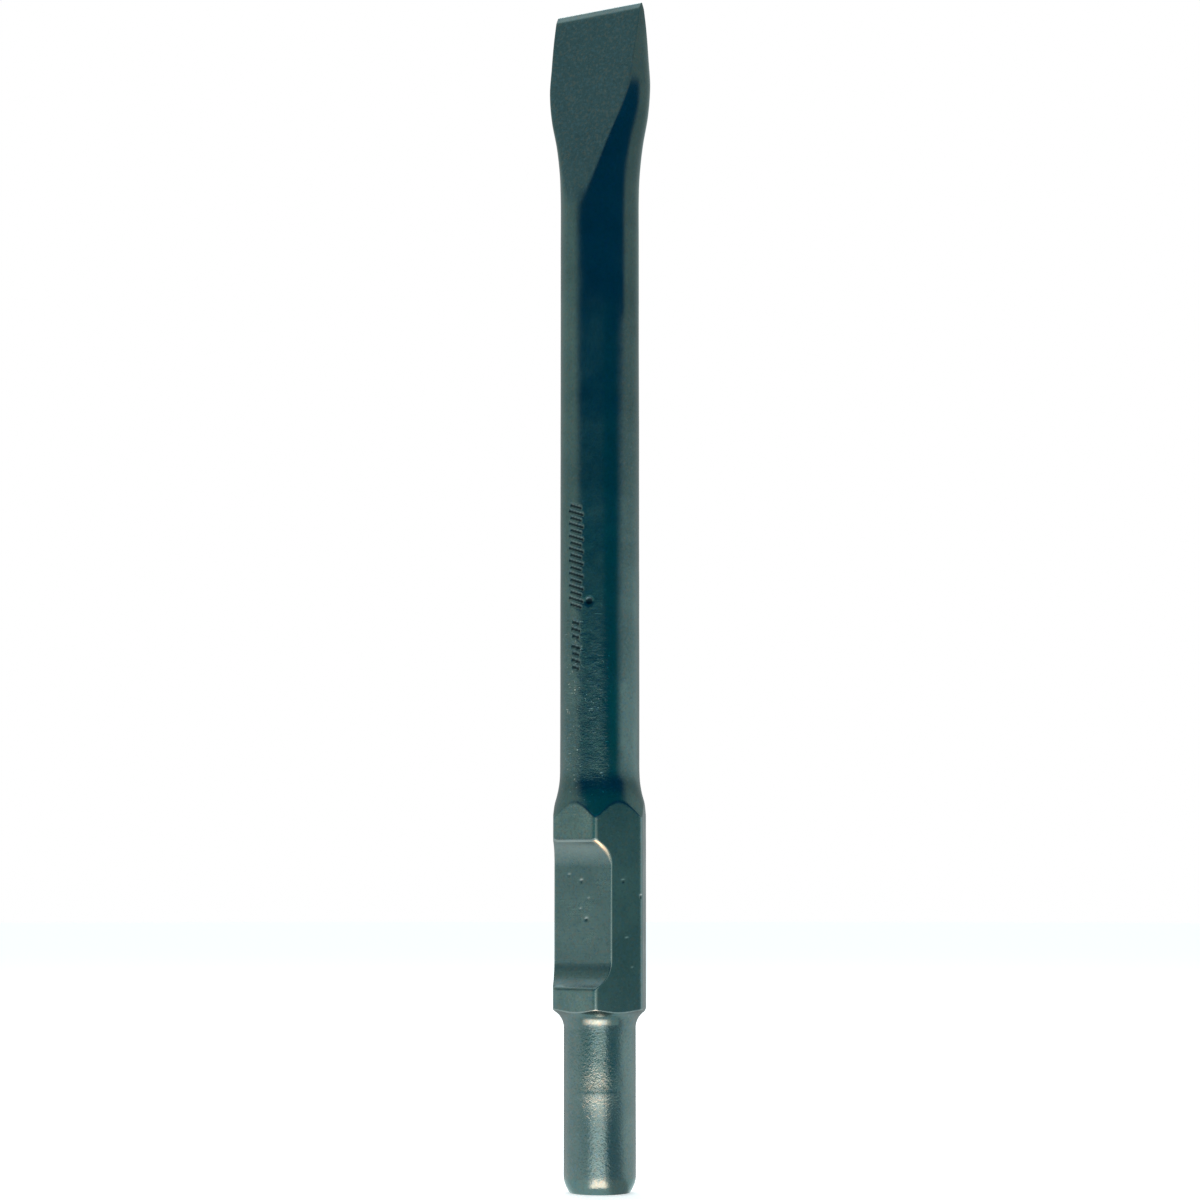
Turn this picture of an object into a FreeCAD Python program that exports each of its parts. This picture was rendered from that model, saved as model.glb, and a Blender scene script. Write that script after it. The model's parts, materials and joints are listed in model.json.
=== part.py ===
import FreeCAD, Part
import math
import os
import Sketcher

# Flat chisel for a breaker hammer: one steel forging.
# +Z runs along the axis from the striking face (z = 0) to the cutting edge,
# the cutting edge lies along X, and the retention notch faces -Y.
# All lengths are in millimetres and all angles in degrees.

SIZES = [
    ("overall_length", 400.0, "striking face to cutting edge"),
    ("spigot_radius", 12.0, "turned end that the striker hits"),
    ("spigot_length", 54.2, "striking face to the start of the root fillet"),
    ("chamfer_rise", 3.4, "end chamfer, measured along the axis"),
    ("chamfer_inset", 1.9, "end chamfer, measured across the axis"),
    ("root_fillet", 6.4, "hollow between the spigot and the hexagon"),
    ("across_flats", 30.0, "hexagon that the tool holder guides"),
    ("blank_radius", 17.1, "round bar from which the hexagon is cut; its corners keep this radius"),
    ("hex_cut_length", 180.0, "reach of the hexagon's cut, past both of its ends"),
    ("neck_fillet", 33.0, "long hollow between the hexagon and the shaft"),
    ("neck_top", 139.5, "where that hollow meets the shaft"),
    ("shaft_radius", 13.3, "round shaft"),
    ("flare_step", 9.5, "distance between the blade's sections along the axis"),
    ("notch_start", 67.5, "lower end of the retention notch"),
    ("notch_length", 48.5, "length of the retention notch at the flat"),
    ("notch_depth", 5.0, "depth of the retention notch below the flat"),
    ("notch_runout", 10.0, "radius of the notch at each end"),
    ("wedge_height", 68.0, "height at which the wedge faces run out on the shaft"),
    ("bevel_height", 2.2, "height of the ground cutting bevel"),
    ("bevel_angle", 30.0, "slope of each bevel from the axis"),
    ("edge_land", 0.2, "half thickness left along the cutting edge"),
    ("cut_reach", 30.0, "how far the cutting sketches reach past the steel"),
]

# Half width of the blade from its root on the shaft up to the cutting edge, at
# equal steps of flare_step. The blade's section is an oval that keeps the
# shaft's radius through its thickness.
FLARE = [13.3, 13.35, 13.85, 15.35, 17.75, 18.75, 18.25, 17.85, 17.35]

doc = FreeCAD.newDocument("flat_chisel_design")
sheet = doc.addObject("Spreadsheet::Sheet", "sizes")


def fill_sheet():
    """Write every driving size into the sheet and give its cell an alias."""
    rows = list(SIZES)
    for number, half_width in enumerate(FLARE):
        rows.append((f"flare_half_{number}", half_width, "blade section, half width"))
    for row, (alias, value, note) in enumerate(rows, start=1):
        sheet.set(f"A{row}", alias)
        sheet.set(f"B{row}", str(value))
        sheet.set(f"C{row}", note)
        sheet.setAlias(f"B{row}", alias)
    doc.recompute()


def size(alias):
    """Value of one cell."""
    return float(sheet.get(alias))


def flare_height(number):
    """Expression for the height of one blade section; the last one is at the cutting edge."""
    return f"sizes.overall_length - {len(FLARE) - 1 - number} * sizes.flare_step"


def on_plane(body, name, role, height=None):
    """New sketch on one of the body's origin planes, raised by an expression."""
    sketch = body.newObject("Sketcher::SketchObject", name)
    plane = next(item for item in body.Origin.OriginFeatures if item.Role == role)
    sketch.AttachmentSupport = [(plane, "")]
    sketch.MapMode = "FlatFace"
    if height:
        sketch.setExpression("AttachmentOffset.Base.z", height)
    return sketch


def bind(sketch, constraint, expression):
    """Add a dimension to a sketch and tie it to the sheet."""
    index = sketch.addConstraint(constraint)
    sketch.setExpression(f"Constraints[{index}]", expression)
    return index


def place(sketch, geometry, point, across=None, along=None):
    """Dimension a point from the sketch's origin; both expressions are positive lengths."""
    position = sketch.getPoint(geometry, point)
    for kind, expression, value in (("DistanceX", across, position.x), ("DistanceY", along, position.y)):
        if expression is None:
            continue
        if value >= 0:
            ends = (-1, 1, geometry, point)
        else:
            ends = (geometry, point, -1, 1)
        bind(sketch, Sketcher.Constraint(kind, *ends, abs(value)), expression)


def vector(across, along):
    return FreeCAD.Vector(across, along, 0)


def line(sketch, start, end):
    return sketch.addGeometry(Part.LineSegment(vector(*start), vector(*end)))


def polygon(sketch, points):
    """Closed chain of lines; returns the geometry numbers, one per side."""
    sides = [line(sketch, start, end) for start, end in zip(points, points[1:] + points[:1])]
    for side, following in zip(sides, sides[1:] + sides[:1]):
        sketch.addConstraint(Sketcher.Constraint("Coincident", side, 2, following, 1))
    return sides


def turned_blank(body):
    """Spigot, root hollow, round bar for the hexagon, neck hollow and shaft, turned in one."""
    spigot, shaft, blank = size("spigot_radius"), size("shaft_radius"), size("blank_radius")
    root, neck = size("root_fillet"), size("neck_fillet")
    spigot_top, neck_top = size("spigot_length"), size("neck_top")
    shaft_top = size("overall_length") - (len(FLARE) - 1) * size("flare_step")
    root_turn = math.acos(1 - (blank - spigot) / root)
    neck_turn = math.acos(1 - (blank - shaft) / neck)
    root_end = spigot_top + root * math.sin(root_turn)
    neck_end = neck_top - neck * math.sin(neck_turn)

    sketch = on_plane(body, "blank_profile", "XZ_Plane")
    face = line(sketch, (0, 0), (spigot - size("chamfer_inset"), 0))
    chamfer = line(sketch, (spigot - size("chamfer_inset"), 0), (spigot, size("chamfer_rise")))
    spigot_side = line(sketch, (spigot, size("chamfer_rise")), (spigot, spigot_top))
    root_arc = sketch.addGeometry(Part.ArcOfCircle(
        Part.Circle(vector(spigot + root, spigot_top), FreeCAD.Vector(0, 0, 1), root),
        math.pi - root_turn, math.pi))
    blank_side = line(sketch, (blank, root_end), (blank, neck_end))
    neck_arc = sketch.addGeometry(Part.ArcOfCircle(
        Part.Circle(vector(shaft + neck, neck_top), FreeCAD.Vector(0, 0, 1), neck),
        math.pi, math.pi + neck_turn))
    shaft_side = line(sketch, (shaft, neck_top), (shaft, shaft_top))
    top = line(sketch, (shaft, shaft_top), (0, shaft_top))
    axis = line(sketch, (0, shaft_top), (0, 0))

    joins = [
        (face, 2, chamfer, 1),
        (chamfer, 2, spigot_side, 1),
        (root_arc, 1, blank_side, 1),
        (blank_side, 2, neck_arc, 2),
        (shaft_side, 2, top, 1),
        (top, 2, axis, 1),
        (axis, 2, face, 1),
    ]
    for join in joins:
        sketch.addConstraint(Sketcher.Constraint("Coincident", *join))
    sketch.addConstraint(Sketcher.Constraint("Tangent", spigot_side, 2, root_arc, 2))
    sketch.addConstraint(Sketcher.Constraint("Tangent", shaft_side, 1, neck_arc, 1))
    sketch.addConstraint(Sketcher.Constraint("Coincident", face, 1, -1, 1))
    for level in (face, top):
        sketch.addConstraint(Sketcher.Constraint("Horizontal", level))
    for upright in (spigot_side, blank_side, shaft_side, axis):
        sketch.addConstraint(Sketcher.Constraint("Vertical", upright))
    place(sketch, face, 2, across="sizes.spigot_radius - sizes.chamfer_inset")
    place(sketch, chamfer, 2, across="sizes.spigot_radius", along="sizes.chamfer_rise")
    place(sketch, spigot_side, 2, along="sizes.spigot_length")
    bind(sketch, Sketcher.Constraint("Radius", root_arc, root), "sizes.root_fillet")
    place(sketch, blank_side, 1, across="sizes.blank_radius")
    bind(sketch, Sketcher.Constraint("Radius", neck_arc, neck), "sizes.neck_fillet")
    place(sketch, shaft_side, 1, across="sizes.shaft_radius", along="sizes.neck_top")
    place(sketch, shaft_side, 2, along=flare_height(0))

    blank_solid = body.newObject("PartDesign::Revolution", "turned_blank")
    blank_solid.Profile = sketch
    blank_solid.ReferenceAxis = (sketch, ["V_Axis"])
    blank_solid.Angle = 360.0
    doc.recompute()


def flare(body):
    """Swelling blade: ovals along the axis, round where they meet the shaft."""
    sections = []
    for number, half_width in enumerate(FLARE):
        sketch = on_plane(body, f"flare_section_{number}", "XY_Plane", flare_height(number))
        radius = size("shaft_radius")
        if half_width == radius:
            ring = sketch.addGeometry(Part.Circle(vector(0, 0), FreeCAD.Vector(0, 0, 1), radius))
            sketch.addConstraint(Sketcher.Constraint("Coincident", ring, 3, -1, 1))
            bind(sketch, Sketcher.Constraint("Radius", ring, radius), f"sizes.flare_half_{number}")
        else:
            oval = sketch.addGeometry(Part.Ellipse(vector(half_width, 0), vector(0, radius), vector(0, 0)))
            sketch.exposeInternalGeometry(oval)
            major, minor = oval + 1, oval + 2
            sketch.addConstraint(Sketcher.Constraint("Coincident", oval, 3, -1, 1))
            sketch.addConstraint(Sketcher.Constraint("Horizontal", major))
            bind(sketch, Sketcher.Constraint("Distance", major, 2 * half_width),
                 f"2 * sizes.flare_half_{number}")
            bind(sketch, Sketcher.Constraint("Distance", minor, 2 * radius), "2 * sizes.shaft_radius")
        sections.append(sketch)
    doc.recompute()
    blade = body.newObject("PartDesign::AdditiveLoft", "flare")
    blade.Profile = sections[0]
    blade.Sections = sections[1:]
    blade.Ruled = False
    blade.Closed = False
    doc.recompute()


def first_flat(body):
    """One guide flat: a slab is cut away beyond half the hexagon's width, towards -Y."""
    apothem, reach = size("across_flats") / 2, size("cut_reach")
    sketch = on_plane(body, "flat_outline", "XY_Plane")
    corners = [(reach, -apothem), (-reach, -apothem), (-reach, -apothem - reach), (reach, -apothem - reach)]
    sides = polygon(sketch, corners)
    for level in (sides[0], sides[2]):
        sketch.addConstraint(Sketcher.Constraint("Horizontal", level))
    for upright in (sides[1], sides[3]):
        sketch.addConstraint(Sketcher.Constraint("Vertical", upright))
    place(sketch, sides[0], 1, across="sizes.cut_reach", along="sizes.across_flats / 2")
    place(sketch, sides[2], 1, across="sizes.cut_reach", along="sizes.across_flats / 2 + sizes.cut_reach")

    cut = body.newObject("PartDesign::Pocket", "flat_cut")
    cut.Profile = sketch
    cut.Type = "Length"
    cut.setExpression("Length", "sizes.hex_cut_length")
    cut.Reversed = True
    doc.recompute()


def other_flats(body):
    """The flat repeated round the axis. A narrow strip of the round bar stays at each corner."""
    pattern = body.newObject("PartDesign::PolarPattern", "hexagon_flats")
    pattern.Originals = [doc.getObject("flat_cut")]
    z_axis = next(item for item in body.Origin.OriginFeatures if item.Role == "Z_Axis")
    pattern.Axis = (z_axis, [""])
    pattern.Angle = 360.0
    pattern.Occurrences = 6
    body.Tip = pattern
    doc.recompute()


def notch(body):
    """Retention notch: a slot with round ends, seen from the side, across the -Y flat."""
    floor = size("across_flats") / 2 - size("notch_depth")
    radius = size("notch_runout")
    runout = math.sqrt(radius ** 2 - (radius - size("notch_depth")) ** 2)
    low = size("notch_start") + runout
    high = size("notch_start") + size("notch_length") - runout
    near, middle, far = -floor, -(floor + radius), -(floor + 2 * radius)

    sketch = on_plane(body, "notch_outline", "YZ_Plane")
    floor_side = line(sketch, (near, low), (near, high))
    upper = sketch.addGeometry(Part.ArcOfCircle(
        Part.Circle(vector(middle, high), FreeCAD.Vector(0, 0, 1), radius), 0, math.pi))
    outer_side = line(sketch, (far, high), (far, low))
    lower = sketch.addGeometry(Part.ArcOfCircle(
        Part.Circle(vector(middle, low), FreeCAD.Vector(0, 0, 1), radius), math.pi, 2 * math.pi))
    sketch.addConstraint(Sketcher.Constraint("Tangent", floor_side, 2, upper, 1))
    sketch.addConstraint(Sketcher.Constraint("Tangent", upper, 2, outer_side, 1))
    sketch.addConstraint(Sketcher.Constraint("Tangent", outer_side, 2, lower, 1))
    sketch.addConstraint(Sketcher.Constraint("Tangent", lower, 2, floor_side, 1))
    sketch.addConstraint(Sketcher.Constraint("Vertical", floor_side))
    bind(sketch, Sketcher.Constraint("Radius", upper, radius), "sizes.notch_runout")
    run = "sqrt(sizes.notch_runout ^ 2 - (sizes.notch_runout - sizes.notch_depth) ^ 2)"
    place(sketch, floor_side, 1,
          across="sizes.across_flats / 2 - sizes.notch_depth",
          along=f"sizes.notch_start + {run}")
    place(sketch, floor_side, 2, along=f"sizes.notch_start + sizes.notch_length - {run}")

    cut = body.newObject("PartDesign::Pocket", "notch_cut")
    cut.Profile = sketch
    cut.Type = "Length"
    cut.setExpression("Length", "4 * sizes.blank_radius")
    cut.Midplane = True
    doc.recompute()


def wedge(body):
    """Two long wedge faces that meet two short ground bevels at the cutting edge."""
    length, reach = size("overall_length"), size("cut_reach")
    land, bevel = size("edge_land"), size("bevel_height")
    shoulder = land + bevel * math.tan(math.radians(size("bevel_angle")))
    shoulder_size = "sizes.edge_land + sizes.bevel_height * tan(sizes.bevel_angle)"
    slope = (size("shaft_radius") - shoulder) / (size("wedge_height") - bevel)
    slope_size = (f"(sizes.shaft_radius - ({shoulder_size}))"
                  " / (sizes.wedge_height - sizes.bevel_height)")
    foot = length - bevel - (reach - shoulder) / slope

    sketch = on_plane(body, "wedge_outline", "YZ_Plane")
    for hand in (1, -1):
        points = [
            (hand * land, length),
            (hand * shoulder, length - bevel),
            (hand * reach, foot),
            (hand * reach, length + reach),
            (hand * land, length + reach),
        ]
        sides = polygon(sketch, points)
        sketch.addConstraint(Sketcher.Constraint("Vertical", sides[2]))
        sketch.addConstraint(Sketcher.Constraint("Horizontal", sides[3]))
        sketch.addConstraint(Sketcher.Constraint("Vertical", sides[4]))
        place(sketch, sides[0], 1, across="sizes.edge_land", along="sizes.overall_length")
        place(sketch, sides[1], 1, across=shoulder_size,
              along="sizes.overall_length - sizes.bevel_height")
        place(sketch, sides[2], 1, across="sizes.cut_reach",
              along="sizes.overall_length - sizes.bevel_height"
                    f" - (sizes.cut_reach - ({shoulder_size})) / ({slope_size})")
        place(sketch, sides[3], 1, along="sizes.overall_length + sizes.cut_reach")

    cut = body.newObject("PartDesign::Pocket", "wedge_cut")
    cut.Profile = sketch
    cut.Type = "Length"
    cut.setExpression("Length", "4 * sizes.blank_radius")
    cut.Midplane = True
    doc.recompute()


def build_step(body, make):
    """Run one feature and check that it changed the solid; returns the new volume."""
    before = body.Shape.Volume if body.Tip else 0.0
    make(body)
    after = body.Shape.Volume
    print(f"{make.__name__}: volume {before:.0f} -> {after:.0f}")
    if abs(after - before) < 1.0:
        raise RuntimeError(f"{make.__name__} changed nothing")


def check(body):
    """Stop if any object failed or the finished solid is not sound."""
    for item in doc.Objects:
        if "Invalid" in item.State or "Error" in item.State:
            raise RuntimeError(f"{item.Name} is {item.State}")
    shape = body.Shape
    if shape.isNull() or not shape.isValid() or len(shape.Solids) != 1:
        raise RuntimeError(f"{body.Label} is not one valid solid")
    box = shape.optimalBoundingBox(False)
    print(f"{body.Label}: {box.XLength:.2f} x {box.YLength:.2f} x {box.ZLength:.2f} mm,"
          f" {shape.Volume:.0f} mm3")


fill_sheet()
flat_chisel = doc.addObject("PartDesign::Body", "flat_chisel")
flat_chisel.Label = "flat_chisel"
for make in (turned_blank, flare, first_flat, other_flats, notch, wedge):
    build_step(flat_chisel, make)
check(flat_chisel)

os.makedirs("parts", exist_ok=True)
flat_chisel.Shape.exportStep(f"parts/{flat_chisel.Label}.step")
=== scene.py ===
import json
import math

import bpy
import numpy as np
from bpy.props import FloatProperty, FloatVectorProperty, IntProperty, PointerProperty
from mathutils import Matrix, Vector, noise


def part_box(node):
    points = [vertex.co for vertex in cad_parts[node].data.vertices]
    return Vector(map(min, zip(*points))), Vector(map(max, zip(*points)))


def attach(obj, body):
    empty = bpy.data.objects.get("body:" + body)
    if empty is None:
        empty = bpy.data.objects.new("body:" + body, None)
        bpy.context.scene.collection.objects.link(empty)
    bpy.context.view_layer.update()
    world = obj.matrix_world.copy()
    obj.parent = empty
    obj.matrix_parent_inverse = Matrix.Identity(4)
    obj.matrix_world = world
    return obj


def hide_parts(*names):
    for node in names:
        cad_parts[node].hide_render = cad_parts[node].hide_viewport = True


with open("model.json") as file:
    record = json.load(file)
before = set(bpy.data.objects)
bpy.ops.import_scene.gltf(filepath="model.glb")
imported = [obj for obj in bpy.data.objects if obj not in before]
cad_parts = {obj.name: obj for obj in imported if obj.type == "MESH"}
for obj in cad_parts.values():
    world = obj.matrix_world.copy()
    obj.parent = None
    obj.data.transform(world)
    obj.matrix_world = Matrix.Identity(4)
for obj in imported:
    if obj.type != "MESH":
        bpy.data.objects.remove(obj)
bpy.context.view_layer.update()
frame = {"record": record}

bl_info = {
    "name": "Flat Chisel Bit",
    "version": (1, 0, 0),
    "blender": (4, 5, 0),
    "location": "3D View > Sidebar > Chisel",
    "description": "Builds the forged flat chisel bit of a breaker hammer and its studio",
    "category": "Object",
}

NODE = "flat_chisel"
BODY = "root"
MM = 0.001

LOW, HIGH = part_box(NODE)
MOUNTS = {mount["name"]: mount for mount in frame["record"]["mounts"]}

# Half width of the blade at equal steps from its root on the shaft to the cutting edge.
FLARE_HALF_WIDTHS = [13.3, 13.35, 13.85, 15.35, 17.75, 18.75, 18.25, 17.85, 17.35]
FLARE_STEP = 9.5 * MM
FLARE_START = HIGH.z - FLARE_STEP * (len(FLARE_HALF_WIDTHS) - 1)

# Rows of the mesh along the axis: (where a stretch ends, distance between its rows).
# The last stretch ends at the cutting edge.
ROW_STRETCHES = [
    (3.4, 0.43),
    (53.5, 0.9),
    (59.5, 0.5),
    (62.0, 0.22),
    (67.0, 0.7),
    (77.5, 0.5),
    (106.0, 0.45),
    (117.0, 0.5),
    (122.0, 0.7),
    (131.0, 0.45),
    (141.0, 1.0),
    (172.0, 1.1),
    (190.0, 0.5),
    (192.0, 1.0),
    (230.0, 0.37),
    (248.0, 1.4),
    (326.0, 3.1),
    (342.0, 1.0),
    (397.4, 0.85),
    (400.0, 0.26),
]

# Nicks left by use: (angle from the notched side in degrees, height, reach, depth), lengths in
# millimetres. Positive angles lie towards +X.
NICKS = [
    (-28.0, 105.0, 0.45, 0.10),
    (-2.3, 103.0, 0.60, 0.16),
    (14.0, 97.0, 0.40, 0.08),
    (-4.6, 93.7, 0.40, 0.08),
    (9.1, 90.4, 0.60, 0.20),
    (65.7, 103.0, 0.60, 0.16),
    (88.4, 98.0, 0.55, 0.16),
    (70.9, 84.0, 0.55, 0.12),
    (77.7, 74.4, 0.35, 0.06),
]

# A round punch mark beside the strokes, given in the same way.
PUNCH_MARK = (19.0, 195.6, 1.25, 0.28)

# Areas of the skin that need closer columns: (lowest angle, highest angle, lowest height,
# highest height, how much closer), angles from the notched side in degrees, heights in millimetres.
FINE_AREAS = [
    (-30.0, 85.0, 72.0, 107.0, 0.6),
    (-22.0, 24.0, 176.0, 228.0, 2.0),
]

# Rows of stamped strokes on the shaft: (lowest stroke, highest stroke, pitch, half length), millimetres.
STROKE_ROWS = [
    (194.3, 227.6, 2.08, 3.2),
    (184.0, 188.6, 2.3, 2.0),
    (173.6, 180.5, 2.3, 2.0),
]
SHORT_STROKE = 0.78

# Unevenness of the skin: (size of its lumps, height, seed), lengths in millimetres.
BROAD_WAVES = (16.0, 0.05, 1)
SHORT_WAVES = (5.0, 0.018, 2)
SCUFF_WAVES = (2.2, 0.05, 3)
GRIT_WAVES = (2.0, 0.008, 4)
SEED_SHIFT = (7.13, 3.71, 5.57)

# How much softer than usual the notch's upper corner and the blade's worn side are, and how much
# sharper the notch's lower end is.
UPPER_EASING = 3.2
WORN_SIDE_EASING = 2.2
LOWER_SHARPENING = 0.55

# Where the notch's upper end is painted lighter, partly latch polish and partly a painted sheen: (outside,
# inside), from below and from above.
POLISHED_AND_SHEEN_FROM = (107.5 * MM, 114.0 * MM)
POLISHED_AND_SHEEN_TO = (120.0 * MM, 116.0 * MM)

# Thickness of steel over which a cut's own finish fades in.
CUT_FADE = 0.3 * MM
FACE_DISH = 0.05 * MM

# A radius that no cut reaches.
OPEN = 1.0


# ---------------------------------------------------------------------------
# Shape of the forging
# ---------------------------------------------------------------------------

def smooth_step(low, high, value):
    """0 below low, 1 above high, and a smooth turn between them."""
    share = np.clip((value - low) / (high - low), 0.0, 1.0)
    return share * share * (3.0 - 2.0 * share)


def soft_min(first, second, width):
    """The smaller of two radii, with the edge where they meet rounded over width."""
    near = np.clip(width - np.abs(first - second), 0.0, None) / width
    return np.minimum(first, second) - near * near * width / 4.0


def soft_ramp(value, width):
    """0 below -width, the value itself above +width, and a smooth bend between them."""
    bend = (value + width) ** 2 / (4.0 * width)
    return np.where(value < -width, 0.0, np.where(value > width, value, bend))


def through_points(value, start, step, points):
    """Smooth curve through evenly spaced points, level beyond both ends."""
    padded = np.concatenate([points[:1], points, points[-1:]])
    place = np.clip((value - start) / step, 0.0, len(points) - 1 - 1e-9)
    index = place.astype(int)
    t = place - index
    before, here, after, beyond = (padded[index + offset] for offset in range(4))
    return here + 0.5 * t * (
        after - before
        + t * (2 * before - 5 * here + 4 * after - beyond + t * (3 * (here - after) + beyond - before))
    )


def turned_radius(z, s):
    """Radius of the turned and swaged parts at height z: chamfer, spigot, root hollow, neck and shaft."""
    root_rise = np.clip(z - s.spigot_top, 0.0, s.root_fillet)
    neck_drop = np.clip(soft_ramp(s.neck_top - z, s.neck_blend), 0.0, s.neck_fillet)
    root = s.spigot_radius + s.root_fillet - np.sqrt(s.root_fillet ** 2 - root_rise ** 2)
    neck = s.shaft_radius + s.neck_fillet - np.sqrt(s.neck_fillet ** 2 - neck_drop ** 2)
    chamfer = s.spigot_radius + (z - s.chamfer_rise) * s.chamfer_inset / s.chamfer_rise
    turned = np.where(z < s.neck_top - s.neck_fillet, root, neck)
    return soft_min(turned, chamfer, s.chamfer_softness)


def bar_radius(theta, z, s):
    """Radius of the hexagon bar in direction theta, with its rounded corners, below the neck's top."""
    radius = s.corner_radius + 0.0 * theta
    for step in range(6):
        facing = np.maximum(np.cos(theta - math.radians(60 * step - 90)), 0.05)
        radius = soft_min(radius, HIGH.y / facing, s.corner_softness)
    return np.where(z < s.neck_top, radius, OPEN)


def blade_thickness(z, s):
    """Half thickness of the blade at height z, between the wedge faces or the bevels."""
    top = HIGH.z
    shoulder = s.edge_land + s.bevel_height * math.tan(s.bevel_angle)
    slope = (s.shaft_radius - shoulder) / (s.wedge_height - s.bevel_height)
    wedge = shoulder + (top - s.bevel_height - z) * slope
    bevel = s.edge_land + (top - z) * math.tan(s.bevel_angle)
    return soft_min(wedge, bevel, 0.25 * MM)


def notch_distance(z, s):
    """Distance of the notch's floor from the axis at height z, and no cut outside the notch."""
    radius = s.notch_runout
    flat = HIGH.y
    runout = math.sqrt(radius ** 2 - (radius - (flat - s.notch_floor)) ** 2)
    half_floor = s.notch_length / 2 - runout
    past = np.clip(np.abs(z - s.notch_middle) - half_floor, 0.0, None)
    inside = past < radius
    rise = radius - np.sqrt(np.where(inside, radius ** 2 - past ** 2, 0.0))
    return np.where(inside, s.notch_floor + rise, OPEN)


def forged_radius(theta, z, s):
    """Radius of the turned parts, the shaft and the oval flare, before any cut."""
    half_width = through_points(z, FLARE_START, FLARE_STEP, np.array(FLARE_HALF_WIDTHS) * MM)
    oval = 1.0 / np.sqrt((np.cos(theta) / half_width) ** 2 + (np.sin(theta) / s.shaft_radius) ** 2)
    return np.where(z > FLARE_START, oval, turned_radius(z, s) + 0.0 * theta)


def cut_notch(radius, theta, z, s):
    """The radius with the notch cut away, how far its edges are eased, and masks of its two ends."""
    floor = notch_distance(z, s) / np.maximum(-np.sin(theta), 0.05)
    place = z - s.notch_middle
    upper_end = smooth_step(0.30 * s.notch_length, 0.48 * s.notch_length, place)
    lower_end = smooth_step(-0.30 * s.notch_length, -0.38 * s.notch_length, place)
    upper_corner = upper_end * smooth_step(0.40, 0.52, np.abs(np.cos(theta)))
    softness = s.notch_softness * (1.0 + UPPER_EASING * upper_corner - LOWER_SHARPENING * lower_end)
    notched = soft_min(radius, floor, softness)
    return notched, np.minimum(radius, floor) - notched, upper_corner, lower_end


def cut_blade(radius, theta, z, s):
    """The radius with the wedge faces and the bevels cut away."""
    wedge = blade_thickness(z, s) / np.maximum(np.abs(np.sin(theta)), 1e-4)
    wedge = np.where(z > FLARE_START - FLARE_STEP, wedge, OPEN)
    worn_side = smooth_step(0.0, -0.5, np.cos(theta)) * smooth_step(HIGH.z - 4 * MM, HIGH.z - 25 * MM, z)
    return soft_min(radius, wedge, s.wedge_softness * (1.0 + WORN_SIDE_EASING * worn_side))


def section(theta, z, s):
    """Radius of the chisel in direction theta at height z, masks of how the skin there was made, and masks of
    where a sheen and a highlight are painted.
    """
    forged = forged_radius(theta, z, s)
    guided = soft_min(forged, bar_radius(theta, z, s), s.edge_softness)
    notched, eased, upper_corner, lower_end = cut_notch(guided, theta, z, s)
    radius = cut_blade(notched, theta, z, s)

    shank = z < s.neck_top
    milled = smooth_step(0.0, CUT_FADE, guided - notched)
    bevel_end = HIGH.z - s.bevel_height
    below_bevel = smooth_step(bevel_end + 0.3 * MM, bevel_end - 0.5 * MM, z)
    masks = {
        "guided": smooth_step(0.0, CUT_FADE, forged - guided) * shank,
        "milled": milled * shank,
        # Worn steel on the notch's upper corner, also tinted warm and bright as a painted highlight.
        "rubbed": smooth_step(0.04 * MM, 0.30 * MM, eased) * upper_corner * (np.cos(theta) > 0.0),
        # The notch's upper end, partly latch polish and partly a painted sheen.
        "polished": milled * smooth_step(*POLISHED_AND_SHEEN_FROM, z) * smooth_step(*POLISHED_AND_SHEEN_TO, z),
        "ground": smooth_step(0.0, CUT_FADE, notched - radius) * below_bevel * (z > FLARE_START - FLARE_STEP),
        "sheltered": lower_end * smooth_step(0.0, 0.02 * MM, eased),
    }
    return radius, masks


def row_heights():
    """Heights of the mesh rows, closer together where the shape changes quickly."""
    heights = [0.0]
    for end, step in ROW_STRETCHES:
        start = heights[-1]
        end = end * MM if end * MM < HIGH.z - 0.1 * MM else HIGH.z
        count = max(1, round((end - start) / (step * MM)))
        heights += [start + (end - start) * (index + 1) / count for index in range(count)]
    return np.array(heights)


def turn_from(theta, degrees=0.0):
    """Angle of theta past a place that is this many degrees from the notched side, from -pi to pi."""
    return np.angle(np.exp(1j * (theta - math.radians(degrees - 90))))


def fineness(theta, z):
    """How much closer than usual the columns stand at angle theta and height z."""
    from_notch = np.degrees(turn_from(theta))
    total = 1.0
    for left, right, low, high, extra in FINE_AREAS:
        across = smooth_step(left - 10.0, left, from_notch) * smooth_step(right + 10.0, right, from_notch)
        along = smooth_step(low - 14.0, low, z / MM) * smooth_step(high + 14.0, high, z / MM)
        total = total + extra * across * along
    return total


def spread_columns(z, s, columns):
    """Angles of the mesh columns in each row, evenly spread along the section and closer at its edges."""
    fine = np.linspace(-0.5 * math.pi, 1.5 * math.pi, 2881)
    radius, _ = section(fine[None, :], z[:, None], s)
    x, y = radius * np.cos(fine), radius * np.sin(fine)
    dx, dy = np.diff(x, axis=1), np.diff(y, axis=1)
    heading = np.unwrap(np.arctan2(dy, dx), axis=1)
    turning = np.abs(np.diff(heading, axis=1, append=heading[:, :1] + 2 * math.pi))
    step = np.hypot(dx, dy) * fineness(fine[None, 1:], z[:, None])
    run = np.cumsum(step + s.edge_crowding * turning, axis=1)
    run = np.concatenate([np.zeros((len(z), 1)), run], axis=1)
    run /= run[:, -1:]
    shares = np.arange(columns) / columns
    return np.array([np.interp(shares, row, fine) for row in run])


def grid_normals(points):
    """Outward unit normals of a closed grid of points: rows along the axis, columns round it."""
    along = np.gradient(points, axis=0)
    around = np.roll(points, -1, axis=1) - np.roll(points, 1, axis=1)
    normals = np.cross(around, along)
    return normals / np.maximum(np.linalg.norm(normals, axis=2, keepdims=True), 1e-12)


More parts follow.
